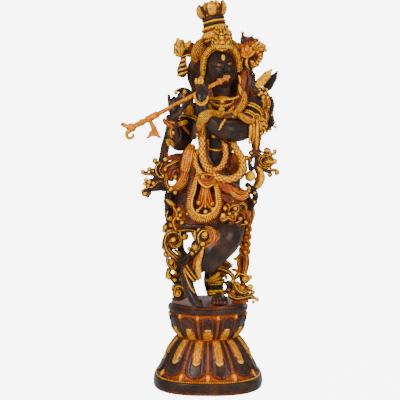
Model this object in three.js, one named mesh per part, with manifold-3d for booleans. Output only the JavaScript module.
// A cast-brass flute player, standing cross-legged in garlands and a curling scarf on a double-lotus pedestal.
// Millimetres, +Z up, seen from the front along +Y. The origin is the centre of the pedestal's underside.
import * as THREE from "three";
import { mergeVertices } from "three/addons/utils/BufferGeometryUtils.js";
import Module from "manifold-3d";

const wasm = await Module();
wasm.setup();

// Driving dimensions
const FIGURE_HEIGHT = 870; // soles to the tips of the crown
const BASE_WIDTH = 316;
const BASE_DEPTH = 273;
const SLAB_HEIGHT = 34;
const WAIST_WIDTH = 166;
const WAIST_HEIGHT = 137; // underside to the pinch between the two rows of petals
const SEAT_WIDTH = 232; // across the lotus rim
const SEAT_HEIGHT = 238; // underside to the surface that the figure stands on
const RIM_HEIGHT = 22; // the plain band under the seat
const LIP = 6; // the step between a petal's tip and the band that it meets
const PETALS = 12; // in each row
const PETAL_GROOVE = 7; // depth of the hollow between two petals
const BOSS_RISE = 8; // of the rounded boss down a petal's middle
const FLUTE_DIAMETER = 12.5;
const CLEARANCE = 0.4; // between castings that touch

// The figure is laid out on a grid of 300 units from the soles to the crown, x to the viewer's right,
// y away from the viewer and z up.
const GRID = FIGURE_HEIGHT / 300;
const FRONT = new THREE.Vector3(0, -1, 0);
const UP = new THREE.Vector3(0, 0, 1);
const FACET = GRID * 1.42; // how far the figure's facets may stray from its curves
const DEPTH_SHARE = BASE_DEPTH / BASE_WIDTH;

const brass = (color, roughness) =>
  new THREE.MeshStandardMaterial({ color, roughness, metalness: 0.8 });
const DARK_BRASS = brass(0x4a352a, 0.45);
const GILT_BRASS = brass(0xc98a35, 0.4);

// A closed geometry as a solid for joining and cutting, turned face out.
function solidOf(geometry) {
  const bare = new THREE.BufferGeometry();
  bare.setAttribute("position", geometry.getAttribute("position"));
  bare.setIndex(geometry.index);
  const merged = mergeVertices(bare, 1e-4);
  const faces = new Uint32Array(merged.index.array);
  const build = () =>
    new wasm.Manifold(
      new wasm.Mesh({
        numProp: 3,
        vertProperties: new Float32Array(merged.attributes.position.array),
        triVerts: faces,
      }),
    );
  const made = build();
  if (made.volume() > 0) return made;
  for (let i = 0; i < faces.length; i += 3)
    [faces[i + 1], faces[i + 2]] = [faces[i + 2], faces[i + 1]];
  return build();
}

// The main body of a union, with anything sealed inside it filled.
function whole(solids) {
  const bodies = wasm.Manifold.union(solids).decompose();
  return bodies.reduce((a, b) => (b.volume() > a.volume() ? b : a));
}

function meshOf(name, solid, material, lift = 0) {
  const { vertProperties, triVerts } = solid.getMesh();
  const geometry = new THREE.BufferGeometry();
  geometry.setAttribute("position", new THREE.BufferAttribute(vertProperties, 3));
  geometry.setIndex(new THREE.BufferAttribute(triVerts, 1));
  geometry.computeVertexNormals();
  const mesh = new THREE.Mesh(geometry, material);
  mesh.name = name;
  mesh.position.z = lift;
  return mesh;
}

const mix = (a, b, t) => a + (b - a) * t;
const smooth = (t) => t * t * (3 - 2 * t);

// A solid rod bent along a smooth curve. Each key is [x, y, z, half width, half depth] on the grid, with
// the depth measured along face. It starts as a sphere, whose rings are moved onto the curve.
function rod(keys, { sides = 6, steps = 8, face = FRONT, swell = () => 1, cap = 0.6 } = {}) {
  const curve = new THREE.CatmullRomCurve3(
    keys.map(([x, y, z]) => new THREE.Vector3(x, y, z)),
    false,
    "centripetal",
  );
  const sizeAt = (t) => {
    const place = Math.min(t * (keys.length - 1), keys.length - 1 - 1e-9);
    const i = Math.floor(place);
    const share = smooth(place - i);
    return [3, 4].map((k) =>
      mix(keys[i][k] ?? keys[i][3], keys[i + 1][k] ?? keys[i + 1][3], share),
    );
  };
  let facing = face.clone();
  const rings = [];
  for (let i = 0; i <= steps; i++) {
    const t = i / steps;
    const along = curve.getTangent(t);
    const wanted = face.clone().addScaledVector(along, -face.dot(along));
    if (wanted.length() > 0.3) facing = wanted.normalize();
    else facing = facing.clone().addScaledVector(along, -facing.dot(along)).normalize();
    const across = new THREE.Vector3().crossVectors(along, facing);
    rings.push({ t, along, facing, across, centre: curve.getPoint(t), size: sizeAt(t) });
  }
  const geometry = new THREE.SphereGeometry(1, sides, steps + 2);
  const { position, uv } = geometry.attributes;
  for (let v = 0; v < position.count; v++) {
    const row = Math.round((1 - uv.getY(v)) * (steps + 2)) - 1;
    const ring = rings[THREE.MathUtils.clamp(row, 0, steps)];
    const point = ring.centre.clone();
    const [wide, deep] = ring.size;
    if (row < 0 || row > steps) {
      point.addScaledVector(ring.along, Math.sign(row) * cap * Math.min(wide, deep));
    } else {
      const angle = (2 * Math.PI * Math.round(uv.getX(v) * sides)) / sides;
      const much = swell(ring.t, angle);
      point.addScaledVector(ring.across, wide * much * Math.cos(angle));
      point.addScaledVector(ring.facing, deep * much * Math.sin(angle));
    }
    point.multiplyScalar(GRID);
    position.setXYZ(v, point.x, point.y, point.z);
  }
  return solidOf(geometry);
}

// An ellipsoid at a place on the grid, turned about the viewing direction by lean degrees.
function ball([x, y, z], [wide, deep, high], { lean = 0, sides = 8, rows = 6 } = {}) {
  const geometry = new THREE.SphereGeometry(1, sides, rows);
  geometry.rotateX(Math.PI / 2);
  geometry.scale(wide, deep, high);
  geometry.rotateY(THREE.MathUtils.degToRad(lean));
  geometry.translate(x, y, z);
  geometry.scale(GRID, GRID, GRID);
  return solidOf(geometry);
}

// Petals or leaves of a given length spread like a fan about a centre, each a flat rod bowed to the front.
function fan([x, y, z], length, angles, { wide = 0.3, bow = 0.25, ...how } = {}) {
  return angles.map((degrees) => {
    const turn = THREE.MathUtils.degToRad(degrees);
    const key = (reach, forward, width) => [
      x + Math.sin(turn) * reach * length,
      y - forward * bow * length,
      z + Math.cos(turn) * reach * length,
      width * wide * length,
      0.09 * length,
    ];
    return rod([key(0, 0, 0.6), key(0.55, 1, 1), key(1, 0.5, 0.15)], {
      sides: 4,
      steps: 3,
      ...how,
    });
  });
}

// A scroll: a stem of [x, y, z] places that runs out to a round eye and curls about it, ending in a bead.
// The eye is [x, z, outer radius], and side 1 turns anticlockwise as the viewer sees it.
const SCROLL_TUBE = 0.42; // half the thickness of a scroll's strand, as a share of its outer radius
const SCROLL_TURN = 1.1 * 2 * Math.PI;
function scroll(stem, [x, z, outer], side, { steps = 5, forward = 0.5 } = {}) {
  const tube = outer * SCROLL_TUBE;
  const radius = outer * 1.1 - tube;
  const [lastX, lastY, lastZ] = stem[stem.length - 1];
  const distance = Math.hypot(lastX - x, lastZ - z);
  const lead = Math.acos(Math.min(1, radius / distance));
  const start = Math.atan2(lastZ - z, lastX - x) + side * lead;
  const keys = stem.map((place) => [...place, tube * 1.1]);
  for (let i = 0; i <= steps; i++) {
    const t = i / steps;
    const angle = start + side * SCROLL_TURN * t;
    const reach = radius * mix(1, 0.15, t ** 1.5);
    keys.push([
      x + reach * Math.cos(angle),
      lastY - forward * outer * t,
      z + reach * Math.sin(angle),
      tube * (i === steps ? 1.15 : mix(1, 0.8, t)),
    ]);
  }
  return rod(keys, { sides: 4, steps: keys.length - 1 });
}

// Scrolls that grow from a flat stem. Each is [x, z, outer radius, side], and leaves the stem a little
// before the place that is nearest to its eye.
function spray(stem, eyes, { steps = 6, lead = 1.3, ...how } = {}) {
  const curve = new THREE.CatmullRomCurve3(
    stem.map(([x, y, z]) => new THREE.Vector3(x, y, z)),
    false,
    "centripetal",
  );
  const length = curve.getLength();
  const grown = eyes.map(([x, z, outer, side]) => {
    let best = 0;
    let least = Infinity;
    for (let share = 0; share <= 1; share += 0.02) {
      const point = curve.getPoint(share);
      const gap = Math.hypot(point.x - x, point.z - z);
      if (gap < least) [best, least] = [share, gap];
    }
    const root = curve.getPoint(THREE.MathUtils.clamp(best - (lead * outer) / length, 0, 1));
    return scroll([root.toArray()], [x, z, outer], side);
  });
  return [rod(stem, { sides: 5, steps, ...how }), ...grown];
}

const bead = (place, radius) => ball(place, [radius, radius, radius], { sides: 6, rows: 4 });

// The lotus pedestal

// How far the plan reaches at an angle, as a share of its half width: an oval, squarer towards the slab.
function planReach(angle, squareness) {
  const power = mix(2, 2.6, squareness);
  const c = Math.abs(Math.cos(angle)) ** power;
  const s = Math.abs(Math.sin(angle) / DEPTH_SHARE) ** power;
  return (c + s) ** (-1 / power);
}

// Petals are spaced as on a circle that is then flattened to the oval.
const flattened = (turn) => Math.atan2(DEPTH_SHARE * Math.sin(turn), Math.cos(turn));

// The pedestal's profile from the underside up: height, half width, squareness, and the petal relief there.
// A row of petals is "down" or "up", with its share of the way from the waist to the petals' tips.
function pedestalProfile() {
  const slab = BASE_WIDTH / 2;
  const waist = WAIST_WIDTH / 2;
  const rim = SEAT_WIDTH / 2;
  const ledge = slab * 0.945; // the top edge of the slab, which the lower petals stand on
  const lower = (t) => [
    mix(WAIST_HEIGHT, SLAB_HEIGHT + LIP, t),
    mix(waist, ledge * 0.98, t ** 0.75),
    t * 0.8,
    "down",
    t,
  ];
  const upper = (t) => [
    mix(WAIST_HEIGHT + LIP / 2, SEAT_HEIGHT - RIM_HEIGHT - LIP, t),
    mix(waist, rim * 0.98, 1 - (1 - t) ** 2),
    0,
    "up",
    t,
  ];
  return [
    [0, slab * 0.98, 1],
    [SLAB_HEIGHT * 0.3, slab, 1],
    [SLAB_HEIGHT * 0.75, slab * 0.985, 1],
    [SLAB_HEIGHT, ledge, 1],
    ...[1, 0.78, 0.55, 0.46, 0.25, 0.05].map(lower),
    [WAIST_HEIGHT, waist, 0],
    ...[0.1, 0.36, 0.48, 1].map(upper),
    [SEAT_HEIGHT - RIM_HEIGHT, rim, 0],
    [SEAT_HEIGHT - RIM_HEIGHT * 0.45, rim, 0],
    [SEAT_HEIGHT - RIM_HEIGHT * 0.32, rim * 0.93, 0],
    [SEAT_HEIGHT, rim * 0.91, 0],
  ];
}

// How far a petal row stands out at an angle and a share of its length: a groove between petals, and a
// rounded boss down the middle of each.
function petalRelief(row, along, turn) {
  const front = -Math.PI / 2;
  const offset = row === "up" ? 0 : 0.5; // the rows are staggered, and an upper petal faces the front
  const place = (((turn - front) * PETALS) / (2 * Math.PI) + offset + PETALS) % 1;
  const off = Math.min(place, 1 - place) * 2; // 0 at the petal's middle, 1 at its edge
  const groove = -PETAL_GROOVE * smooth(THREE.MathUtils.clamp((off - 0.6) / 0.4, 0, 1));
  const reach = row === "up" ? 0.48 : 0.55;
  const inside = 1 - (along / reach) ** 6 - (off / 0.62) ** 6;
  return groove * (0.4 + 0.6 * along) + BOSS_RISE * Math.sqrt(Math.max(0, inside));
}

function pedestal() {
  const columns = PETALS * 6;
  const profile = pedestalProfile();
  const positions = [0, 0, 0];
  for (const [height, half, squareness, row, along] of profile)
    for (let i = 0; i < columns; i++) {
      const turn = (2 * Math.PI * i) / columns;
      const angle = flattened(turn);
      const relief = row ? petalRelief(row, along, turn) : 0;
      const reach = planReach(angle, squareness) * half + relief;
      positions.push(reach * Math.cos(angle), reach * Math.sin(angle), height);
    }
  positions.push(0, 0, SEAT_HEIGHT);
  const faces = [];
  const top = positions.length / 3 - 1;
  for (let i = 0; i < columns; i++) {
    const next = (i + 1) % columns;
    faces.push(0, 1 + next, 1 + i);
    for (let ring = 0; ring + 1 < profile.length; ring++) {
      const low = 1 + ring * columns;
      const high = low + columns;
      faces.push(low + i, low + next, high + next, low + i, high + next, high + i);
    }
    faces.push(top, top - columns + i, top - columns + next);
  }
  const geometry = new THREE.BufferGeometry();
  geometry.setAttribute("position", new THREE.Float32BufferAttribute(positions, 3));
  geometry.setIndex(faces);
  return solidOf(geometry);
}

// The body

function legs() {
  const standing = [
    rod([[-11, 2, 100, 18, 17], [-3, 0, 70, 14, 14], [5, 0, 52, 10, 11], [7, 1, 36, 8.5, 9],
      [8.5, 1, 20, 6.8, 7], [9.5, 0, 8, 6.5, 6.5]], { steps: 6 }),
    rod([[10, 4, 5, 5.5, 5], [10.5, -10, 5, 6.5, 5], [10.5, -23, 2.5, 8, 3]], { face: UP, steps: 4 }),
    rod([[2, 5, 34, 3, 4], [0, 6, 20, 3.5, 4], [2, 4, 4, 3, 3]], { sides: 5, steps: 3 }),
  ];
  const crossing = [
    rod([[24, -6, 98, 18, 16], [21, -16, 80, 15.5, 15], [16.5, -26, 65, 15, 15], [6, -29, 53, 13.5, 12.5],
      [-5, -29, 42, 13, 12], [-8, -29, 39, 11.5, 10.5]], { steps: 7, sides: 8, cap: 0.1 }),
    rod([[-6, -29, 41, 7.5, 7], [-15, -28, 34.5, 6.8, 6.5], [-20.5, -27, 29.5, 5.8, 6],
      [-18.5, -29, 18, 5.6, 5.2], [-14, -34, 9, 5, 4.2], [-10.5, -38, 3.4, 3.6, 3.4]], { steps: 7 }),
  ];
  const toes = [3.8, 6.8, 9.6, 12.4, 15.6].map((x, i) =>
    ball([x, -26.5 + Math.abs(i - 3.2) * 0.9, 2], [1.6 + i * 0.12, 3, 2.2], { sides: 5, rows: 4 }),
  );
  return [...standing, ...crossing, ...toes];
}

function trunk() {
  return [
    rod([[3, 0, 106, 26, 19], [5, -1, 124, 28, 18], [7, -2, 138, 21.5, 14], [7, -2, 151, 16.5, 13],
      [9, -2, 168, 20, 15], [14, 0, 186, 27, 16], [14.5, 2, 198, 17, 12], [13, -1, 206, 8.5, 8.5],
      [13.5, -3, 215, 8.5, 8.5]], { sides: 9, steps: 9 }),
    rod([[-14, 2, 188, 10, 9], [14, 2, 194, 11, 10], [47, 3, 196, 9.5, 9.5]], { steps: 5 }),
  ];
}

function head() {
  return [
    ball([13.4, -5, 230], [15.7, 17, 20.3], { lean: -8, sides: 10, rows: 8 }),
    ball([17, -20.5, 224.5], [2.4, 3, 5], { lean: -8, sides: 6, rows: 4 }), // nose
    ball([17.8, -17.5, 217], [4.2, 4, 2.4], { lean: -8, sides: 6, rows: 4 }), // lips
    rod([[2, 10, 252, 8, 8], [-5, 12, 234, 15.5, 9], [-4, 13, 210, 11, 7], [4, 14, 190, 10, 5]], {
      steps: 4,
    }), // hair on the right shoulder
    rod([[16, 12, 252, 14, 9], [26, 12, 236, 13, 9], [30, 13, 210, 10, 8], [24, 15, 188, 9, 5]], {
      steps: 4,
    }), // hair on the left shoulder
    rod([[10, 12, 250, 10, 8], [12, 15, 226, 13, 8], [13, 15, 200, 12, 6], [13, 14, 176, 7, 3]], {
      steps: 4,
    }), // hair down the back
  ];
}

function arms() {
  return [
    rod([[48, 3, 197, 9.5, 9.5], [41, -5, 183, 10, 10], [34, -13, 172, 11.5, 11],
      [20, -24, 169, 11, 10.5], [4, -29, 175, 8.5, 8], [-5, -31, 189, 5.8, 5.5],
      [-6.2, -32, 196, 5, 4.5]], { steps: 9 }),
    rod([[-14, 3, 188, 10.5, 10], [-20, -3, 173, 10.5, 10], [-27, -10, 159, 9.5, 9.5],
      [-31, -20, 162, 8.5, 8.5], [-33.5, -27, 174, 6.5, 6.5], [-32.5, -30, 182, 5, 4.5]], { steps: 8 }),
  ];
}

// Fingers are [x, y, z] at the knuckle and at the tip.
function hands() {
  const finger = ([root, tip]) => {
    const middle = root.map((value, i) => mix(value, tip[i], 0.55) - (i === 1 ? 1.2 : 0));
    return rod([[...root, 1.9], [...middle, 1.7], [...tip, 1.1]], { sides: 4, steps: 2 });
  };
  const near = [
    [[-11.5, -32, 205], [-12, -35, 216]],
    [[-8, -32, 206], [-8, -37, 218]],
    [[-4.5, -32, 206], [-4, -37, 217]],
    [[-1, -32, 205], [0, -35, 214]],
  ];
  const far = [
    [[-36, -28, 189], [-37.5, -29, 204]],
    [[-33, -29, 192], [-33.5, -29.5, 203]],
    [[-29.5, -30, 193], [-30, -29, 202]],
    [[-27, -33, 183], [-22, -41, 197]],
  ];
  return [
    ball([-6.2, -32, 201], [6.8, 3.6, 7], { sides: 6 }),
    ball([-31.5, -31, 188], [6.5, 4.5, 6.5], { sides: 6 }),
    ball([-8.5, -34, 216.5], [4.6, 2.4, 3.2], { sides: 6, rows: 4 }), // the bud held in the fingers
    ...[...near, ...far].map(finger),
  ];
}

// Headdress and ornaments

const CROWN_LEAN = 11; // degrees, towards the viewer's left
const crownAt = (rise, side = 0, y = 2) => {
  const lean = THREE.MathUtils.degToRad(CROWN_LEAN);
  return [
    10.5 - Math.sin(lean) * rise + Math.cos(lean) * side,
    y,
    256 + Math.cos(lean) * rise + Math.sin(lean) * side,
  ];
};

function crown() {
  const tiers = [[-6, 17], [0, 14.5], [4, 15.6], [10, 16], [13.5, 13], [15, 10], [16.5, 11.6],
    [19, 11.6], [20, 10.2], [21, 11.6], [24, 11.2], [25.5, 8.4], [30, 10.5], [37, 10.5], [40, 7]];
  const petals = [0, 60, 120, 180, 240, 300].map((degrees) => {
    const turn = THREE.MathUtils.degToRad(degrees);
    const key = (rise, reach, wide) => [
      ...crownAt(rise, Math.sin(turn) * reach, 2 - Math.cos(turn) * reach),
      wide,
      2,
    ];
    return rod([key(25, 7.5, 4.5), key(31, 12.5, 7.5), key(37, 13.5, 6.5), key(41.5, 13.5, 1.6)], {
      sides: 4,
      steps: 3,
      face: new THREE.Vector3(Math.sin(turn), -Math.cos(turn), 0),
    });
  });
  return [
    rod(tiers.map(([rise, wide]) => [...crownAt(rise), wide]), { sides: 8, steps: tiers.length - 1 }),
    ...petals,
    rod([[-4.4, -7, 226, 2.5, 4], [-5, -8, 237, 3, 5], [-2, -9, 246, 4, 6], [5, -11, 251, 5.2, 6],
      [15, -12, 252, 5.2, 6], [24.5, -10, 249.5, 4.5, 6], [30, -7, 242, 3.2, 5], [30.5, -6, 231, 2.2, 4]],
      { sides: 6, steps: 9 }), // the band round the face
    rod([[11.4, -18, 250, 7, 3], [12, -17, 258, 8.5, 4], [13.5, -15, 266, 7, 3.5], [15.5, -13, 270, 4, 2.5]], {
      sides: 6,
      steps: 4,
    }), // the crest over the forehead
  ];
}

function sideFlowers() {
  return [
    rod([[-5, 4, 236, 2], [-17, 1, 245.5, 1.8], [-25, 0, 245, 3]], { sides: 5, steps: 3 }),
    ...fan([-24, -1, 248], 13, [-80, -35, -2, 38], { steps: 2 }),
    scroll([[-22, -1, 246], [-17, -1, 245.5]], [-16.5, 252, 6], 1, { steps: 6, forward: 0.1 }),
    rod([[-24, 0, 245, 2.5], [-25, 0, 238, 3.2], [-26, 0, 230, 5.6], [-26, 0, 224.5, 5]], { steps: 4 }),
    rod([[27, 8, 238, 5], [38, 1, 246, 7, 5], [38, 0, 255, 5, 4]], { sides: 6, steps: 3 }),
    ...fan([38, -2, 248], 19, [-14, 20, 45, 70, 92], { steps: 2 }),
    scroll([[46, -2, 252], [53, -2, 247]], [47.5, 241.5, 7.3], -1, { forward: 0.2 }),
    rod([[33, 0, 254, 2.6], [33.5, 0, 261, 2.6], [34, 0, 266.5, 1.8]], { sides: 5, steps: 3 }),
  ];
}

function bird() {
  return [
    rod([[41.5, -5, 227, 0.8], [44, -3, 228.5, 2.6], [42.5, -1, 221, 2.6], [43, 0, 212, 4.5],
      [49, 2, 206, 7], [56, 4, 202, 6.5], [60, 4, 194, 5.5, 4], [61, 4, 180, 5, 3.5],
      [57, 3, 168, 2.5, 2]], { steps: 9 }),
    rod([[46, -4, 216, 3, 1.6], [55, -4, 223, 4.8, 1.8], [64, -2, 231, 0.8, 0.8]], { sides: 5, steps: 3 }),
    rod([[52, 5, 208, 3, 1.8], [62, 6, 220, 4.6, 1.8], [68.5, 7, 229, 0.8, 0.8]], { sides: 5, steps: 3 }),
  ];
}

// Garlands hang as ribbed rods. Their keys run down one side of the loop and up the other.
function garlands() {
  const strand = (keys, wide, deep, steps) =>
    rod(keys.map((key) => [...key, wide, deep]), { sides: 5, steps });
  const long = [[-6, -31, 172], [-4.5, -25, 158], [0, -22, 140], [6.5, -25, 129.5], [16, -28, 122.5],
    [28, -25, 123], [34.5, -21, 132], [32.5, -17, 142.5], [26.5, -15, 152], [21, -18, 162]];
  const inner = [[14, -14, 162], [17.5, -16, 148], [16.5, -20, 138], [10.5, -24, 129], [1, -26, 124.5],
    [-7, -25, 128], [-12, -19, 138], [-12, -11, 151]];
  const lower = [[-12, -18, 141], [-14.5, -24, 130], [-15, -28, 118], [-18.5, -30, 106],
    [-17.5, -31, 95], [-11, -33, 87], [-2, -34, 84.5], [7, -33, 88], [11.5, -31, 97],
    [10.5, -29, 108], [8, -26, 117]];
  return [
    strand(long, 4.8, 4, 15),
    strand(inner, 3.4, 2.8, 10),
    strand(lower, 4.8, 3.2, 16),
    ball([41, -11, 124.5], [5.2, 5.2, 5.2]), // the large bead beside the long garland
    rod([[33, -20, 127, 2], [42, -9, 124, 2], [50, -6, 121, 2]], { sides: 5, steps: 2 }),
    rod([[43, -6, 138, 1.8], [42.5, -9, 128, 1.8]], { sides: 5, steps: 1 }),
  ];
}

// Cloth: the waistcloth, the wide scarf and its ends

function waistcloth() {
  const folds = (t, angle) => 1 + 0.05 * Math.cos(6 * angle) * t;
  return [
    rod([[4, -1, 130, 22, 17], [3, -2, 116, 29, 22], [3, -3, 102, 32, 24], [4, -5, 89, 33.5, 24],
      [5, -6, 80, 33, 22]], { sides: 12, steps: 4, swell: folds, cap: 0.1 }),
    rod([[-2, -24, 122, 6, 4], [-2, -27, 112, 5, 4], [-2, -29, 102, 8, 4], [-2, -30, 92, 10, 3]], {
      sides: 6,
      steps: 4,
    }), // the pleats between the thighs
    rod([[-2, -23, 126, 9, 5], [-1, -25, 120, 8, 5], [0, -25, 115, 3, 4]], { sides: 6, steps: 3 }),
    rod([[-4, -27, 53, 4, 9], [-12, -23, 44, 7.5, 6], [-24, -20, 31, 6, 4]], { steps: 4 }), // behind the shin
  ];
}

function scarf() {
  return [
    // over the left shoulder, across the chest and round the forearm
    rod([[32, -8, 202, 5, 3], [25, -15, 191, 5.5, 3], [14, -20, 180, 6.5, 3.5], [2, -30, 174, 6, 4],
      [-7, -36, 178, 6, 4.5], [-11, -35, 170, 4.5, 3.5], [-14, -33, 161, 4, 3]], { sides: 6, steps: 9 }),
    // from the chest to the left elbow, and down beside the hip
    rod([[28, -15, 186, 5, 3], [38, -17, 179, 6.5, 4], [46, -12, 172, 7, 5], [47, -8, 159, 6.5, 4],
      [47, -5, 147, 3.5, 3]], { sides: 6, steps: 6 }),
    ...fan([48, -12, 173], 13, [70, 100, 130], { bow: 0.1, steps: 2 }),
    // the knot at the right shoulder
    scroll([[-14, -4, 194], [-18, -6, 201]], [-23, 207, 4.4], 1),
    scroll([[-16, -4, 190], [-27, -8, 201]], [-31.5, 206.5, 3.6], 1),
    // from the right forearm down to the hip
    rod([[-37, -20, 174, 4.5, 4], [-40, -14, 158, 4.5, 3.5], [-44, -8, 143, 5, 3]], { sides: 6, steps: 3 }),
    // from the waist over the right hip
    rod([[-14, -4, 150, 5, 6], [-20, -6, 150, 6.5, 7], [-21, -13, 137, 8, 6], [-24, -16, 122, 7.5, 5],
      [-32, -14, 112, 5, 4], [-40, -11, 115, 3.5, 4], [-41, -9, 126, 2.5, 3]], { sides: 6, steps: 9 }),
    // from the waist over the left hip
    rod([[10, -20, 122, 6, 4], [22, -21, 112, 8, 4.5], [34, -18, 107, 7, 4], [40, -12, 108, 4, 3.5]], {
      sides: 6,
      steps: 5,
    }),
  ];
}

// The fluttering ends: stems, the scrolls that grow from them, and beads.
function rightSideCurls() {
  return [
    ...spray(
      [[-23, -10, 143, 3, 3], [-36, -9, 143, 3, 3], [-45, -8, 138, 3, 3], [-52, -7, 131, 3, 3],
        [-50, -7, 124, 3, 3], [-47, -7, 116, 3.5, 3], [-43, -8, 111, 3.5, 3]],
      [[-52, 140, 3.8, -1], [-42, 132, 2.8, 1], [-46.5, 129, 6.5, 1], [-58, 130, 3.2, 1],
        [-63.5, 129.5, 3.2, -1], [-60.5, 118.5, 4.4, -1], [-62.5, 107.5, 4.8, 1]],
    ),
    bead([-42, -10, 141], 2.6),
    scroll([[-25, -14, 124]], [-32, 124, 3], -1),
    ...spray(
      [[-38, -9, 112, 3, 3], [-40.5, -7, 101, 4.5, 3], [-38.5, -6, 88, 4.5, 3], [-37, -6, 76, 3.5, 3],
        [-30, -6, 70, 2.6, 3], [-14, -16, 71, 2.6, 2.6], [-8, -22, 66, 2.4, 2.4]],
      [[-41.5, 75, 4, 1], [-36, 77.5, 4.3, -1], [-23, 65.5, 4.3, 1], [-19.5, 76.5, 3.3, 1]],
    ),
    rod([[-33, -2, 108, 5, 4], [-32, -1, 92, 6, 4], [-33, -3, 76, 5, 4]], { sides: 5, steps: 2 }),
    rod([[-41.5, -9, 101.5, 1.6], [-36.5, -10, 98, 3], [-32, -9, 92.5, 2]], { sides: 5, steps: 2 }),
    bead([-28, -8, 72.5], 2.8),
    bead([-10.5, -24, 66.5], 3.3),
    scroll([[3, -26, 73], [4, -26, 69]], [-3.5, 68.5, 5.4], -1),
    bead([-4.8, -28, 59.5], 2.8),
    scroll([[0, -25, 64], [-8, -26, 62]], [-13, 56, 3.4], 1),
    bead([-17.5, -23, 53.5], 2.8),
    bead([-14, -24, 49.5], 3.2),
    scroll([[-29, -5, 32], [-29, -5, 42], [-36, -5, 49], [-43, -5, 54]], [-35.5, 60.8, 10], -1, { steps: 8 }),
    scroll([[-41, -6, 52], [-36, -6, 49]], [-35.5, 39, 7.4], -1, { steps: 7 }),
    scroll([[-42, -6, 56]], [-41.5, 48.5, 3.2], 1),
    scroll([[-29, -6, 38]], [-31.5, 29.5, 3.2], -1),
    ball([-38.5, -6, 27.5], [3.4, 3.4, 4.8], { sides: 6, rows: 4 }),
    rod([[-39, -6, 28, 3], [-33, -7, 22, 4], [-27, -9, 13, 3.5]], { sides: 5, steps: 3 }),
    ball([-29, -10, 9], [6.4, 5.5, 7], { sides: 7, rows: 5 }), // the knob that ends the scarf
    rod([[-29, -10, 12, 3], [-36.5, -10, 11.5, 1]], { sides: 4, steps: 1 }),
    rod([[-13, -24, 40, 2.5], [-22, -14, 33, 3], [-33, -7, 23, 3]], { sides: 5, steps: 2 }),
  ];
}

function leftSideCurls() {
  return [
    ...spray(
      [[47.5, -6, 153, 3, 3], [49, -5, 144, 3, 3], [51, -4, 136, 3, 3], [55, -4, 130, 2.4, 2.4],
        [62, -4, 131, 2.2, 2.2]],
      [[58, 149.5, 4.4, 1], [65, 149, 2.6, 1], [56, 140.5, 7, 1], [61, 126, 3, -1], [67.5, 127.5, 3.2, -1],
        [43, 147, 3.4, 1], [38.5, 142, 3.4, -1]],
      { steps: 5 },
    ),
    ball([63.5, -5, 138.8], [4, 3, 4], { sides: 6, rows: 4 }),
    rod([[49.5, -6, 134, 3], [51, -6, 124.5, 4], [48, -6, 117, 3.6], [43, -6, 112, 1.5]], { steps: 4 }),
    ...spray(
      [[38, -9, 104, 4, 4], [42, -4, 91, 4.5, 4], [40, -2, 76, 4, 4], [38, -2, 63, 3.5, 3],
        [37, -2, 50, 4, 3], [36.5, -3, 38, 5.5, 3], [35, -4, 24, 3.5, 3]],
      [[44.5, 107.5, 4, -1], [46.5, 99, 3, -1], [42, 71, 3.8, -1], [40, 63, 3.6, -1], [39.3, 55, 3.6, -1],
        [35, 21, 5, 1]],
      { steps: 8 },
    ),
    rod([[44, -3, 97, 1.6], [46, -3, 87.5, 2], [43, -3, 77, 1.6]], { sides: 5, steps: 3 }),
    rod([[37, -3, 53, 2], [31, -7, 45, 3], [25, -8, 42.5, 1]], { sides: 5, steps: 2 }),
    scroll([[10, -9, 33.5], [11, -13, 36.5]], [18, 36, 4.8], -1),
    rod([[8, -8, 34, 3], [17, -13, 31.5, 3], [25, -11, 27, 3], [27.5, -8, 20, 1.8]], { sides: 5, steps: 4 }),
    bead([22.5, -14, 36.5], 2.8),
    scroll([[26, -8, 22], [27, -7, 17]], [34, 12, 7.4], 1, { steps: 7 }),
    bead([39.5, -5, 23], 2.6),
    bead([41.5, -8, 12.5], 3.4),
    rod([[22, -8, 10, 2], [28, -8, 4, 2.2], [37, -8, 3, 2.2], [45, -8, 4, 2]], { sides: 5, steps: 4 }),
    scroll([[43, -8, 4.5]], [48.5, 4.5, 3.2], -1),
    scroll([[24, -8, 14]], [20.5, 17, 3.8], 1),
    scroll([[23, -8, 10]], [26, 5.5, 4.6], 1, { steps: 6 }),
    rod([[20, -8, 17, 2.4], [24, -6, 11, 3], [33, -4, 5, 3]], { sides: 5, steps: 2 }),
  ];
}

// The hem of the waistcloth, a row of small rising scrolls.
function hemCurls() {
  const rising = [[-25, -17, 86, 4], [16, -26, 86, 3], [25, -22, 91, 4.2], [32, -17, 83, 3.6]];
  return rising.map(([x, y, z, outer], i) =>
    scroll([[x, y + 3, z - outer - 1]], [x, z, outer], i % 2 ? 1 : -1),
  );
}

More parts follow.
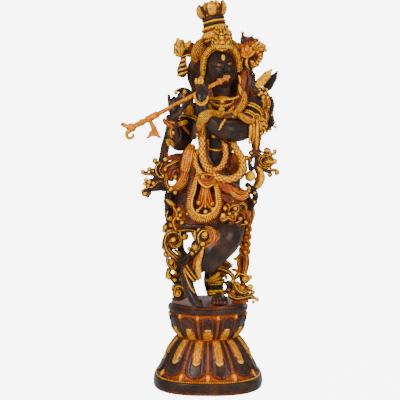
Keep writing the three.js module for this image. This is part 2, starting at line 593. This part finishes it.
// The flute runs from the lips through both hands to its curled end.
const fluteAt = (share) => {
  const mouth = [19.3, -25, 220];
  const end = [-68.5, -38, 173];
  return mouth.map((value, i) => mix(value, end[i], share));
};

function fluteShaft(extra = 0) {
  const radius = FLUTE_DIAMETER / 2 / GRID;
  const stages = [[-0.01, 0.85], [0.02, 1.1], [0.06, 0.9], [0.09, 1.15], [0.13, 0.9], [0.2, 0.95],
    [0.5, 0.95], [0.76, 1], [0.8, 1.5], [0.84, 1.5], [0.88, 1.1], [0.93, 1.25], [1, 1.2]];
  return rod(stages.map(([share, size]) => [...fluteAt(share), radius * size + extra / GRID]), {
    sides: 7,
    steps: stages.length - 1,
  });
}

function flute() {
  const [x, y, z] = fluteAt(1);
  const tailRoot = [x + 12, y, z + 4];
  return whole([
    fluteShaft(),
    ball([x - 6, y, z - 1.5], [6, 3.6, 4.4], { lean: 30, sides: 6, rows: 4 }),
    scroll([[x - 8, y, z - 1], [x - 9.5, y, z - 5]], [x - 5, z - 8, 4.2], 1, { forward: 0 }),
    rod([[x - 8, y, z + 1, 2.4], [x - 12.5, y, z - 0.5, 1.6], [x - 14, y, z + 1, 2]], { sides: 5, steps: 2 }),
    rod([[...tailRoot, 1.6], [x + 17, y, z - 4, 2], [x + 11, y, z - 11, 1]], { sides: 4, steps: 2 }),
    rod([[...tailRoot, 1.6], [x + 17.5, y, z - 4, 2], [x + 23, y, z - 11, 1]], { sides: 4, steps: 2 }),
  ]);
}

function figure() {
  const makers = [legs, trunk, head, arms, hands, crown, sideFlowers, bird, garlands, waistcloth, scarf,
    rightSideCurls, leftSideCurls, hemCurls];
  const joined = whole(makers.flatMap((make) => make()));
  const cast = joined.trimByPlane([0, 0, 1], 0).asOriginal().simplify(FACET);
  return whole([cast.subtract(fluteShaft(CLEARANCE * 1.5))]);
}

const statue = new THREE.Group();
statue.add(
  meshOf("lotus_pedestal", pedestal(), DARK_BRASS),
  meshOf("krishna_figure", figure(), DARK_BRASS, SEAT_HEIGHT + CLEARANCE),
  meshOf("flute", flute(), GILT_BRASS, SEAT_HEIGHT + CLEARANCE),
);
export default statue;
